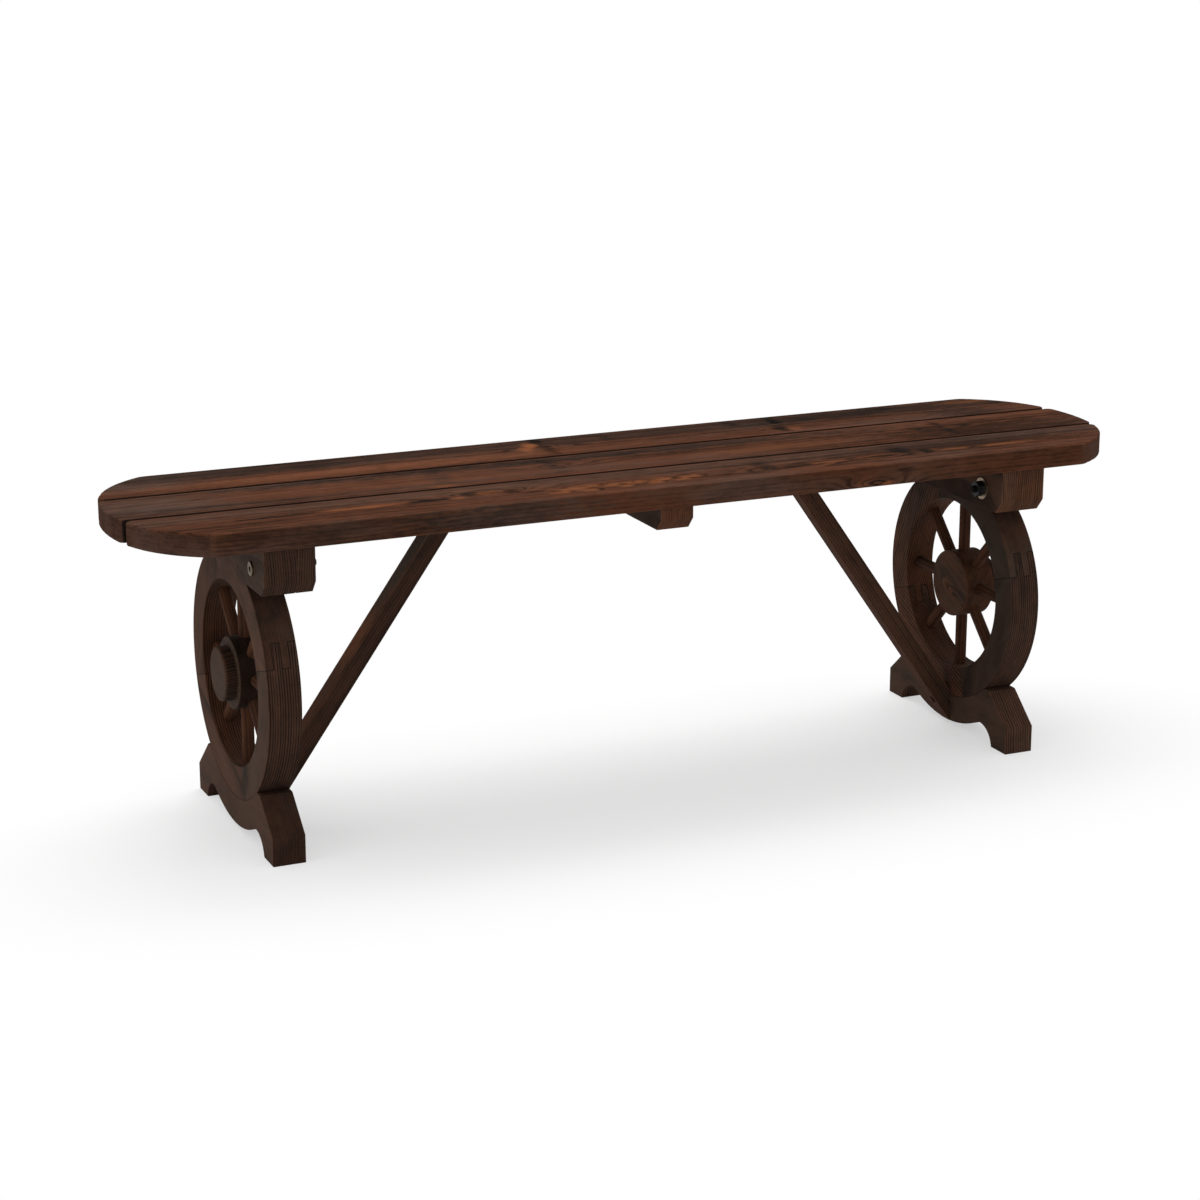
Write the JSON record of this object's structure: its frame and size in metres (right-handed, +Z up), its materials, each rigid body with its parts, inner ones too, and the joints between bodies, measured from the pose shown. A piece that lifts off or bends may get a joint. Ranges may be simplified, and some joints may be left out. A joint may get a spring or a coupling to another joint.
{
  "type": "outdoor bench",
  "caption": "Backless garden bench of dark burnt wood: rounded board seat on wheel-shaped end frames with spokes, feet and diagonal braces.",
  "frame": {"origin": "on the floor, under the middle of the seat", "axes": "+X along the seat, to the right as seen from the front; +Y to the back; +Z up"},
  "size_m": [1.397, 0.33, 0.4315],
  "materials": {
    "seat_wood": "burnt softwood, brushed, satin clear coat, reddish brown with dark grain",
    "frame_wood": "burnt softwood, satin clear coat, dark brown with fine grain",
    "dowel_wood": "plain beech, unfinished, hidden",
    "brass": "yellow zinc-plated, satin",
    "dark_steel": "blackened, satin"
  },
  "bodies": {
    "root": {"batten_screws": "dark_steel", "centre_batten": "frame_wood", "front_slat": "seat_wood", "left_bolt_nuts": "dark_steel", "left_bolt_washers": "brass", "left_bottom_felloe": "frame_wood", "left_brace": "frame_wood", "left_brace_screws": "dark_steel", "left_cleat_screws": "dark_steel", "left_connector_bolts": "brass", "left_foot": "frame_wood", "left_frame_dowels": "dowel_wood", "left_front_felloe": "frame_wood", "left_hub": "frame_wood", "left_hub_cap": "frame_wood", "left_rear_felloe": "frame_wood", "left_seat_cleat": "frame_wood", "left_spoke_1": "frame_wood", "left_spoke_2": "frame_wood", "left_spoke_3": "frame_wood", "left_spoke_4": "frame_wood", "left_spoke_5": "frame_wood", "left_spoke_6": "frame_wood", "left_spoke_7": "frame_wood", "left_spoke_8": "frame_wood", "left_top_felloe": "frame_wood", "left_top_rail": "frame_wood", "middle_slat": "seat_wood", "rear_slat": "seat_wood", "right_bolt_nuts": "dark_steel", "right_bolt_washers": "brass", "right_bottom_felloe": "frame_wood", "right_brace": "frame_wood", "right_brace_screws": "dark_steel", "right_cleat_screws": "dark_steel", "right_connector_bolts": "brass", "right_foot": "frame_wood", "right_frame_dowels": "dowel_wood", "right_front_felloe": "frame_wood", "right_hub": "frame_wood", "right_hub_cap": "frame_wood", "right_rear_felloe": "frame_wood", "right_seat_cleat": "frame_wood", "right_spoke_1": "frame_wood", "right_spoke_2": "frame_wood", "right_spoke_3": "frame_wood", "right_spoke_4": "frame_wood", "right_spoke_5": "frame_wood", "right_spoke_6": "frame_wood", "right_spoke_7": "frame_wood", "right_spoke_8": "frame_wood", "right_top_felloe": "frame_wood", "right_top_rail": "frame_wood"}
  },
  "joints": []
}
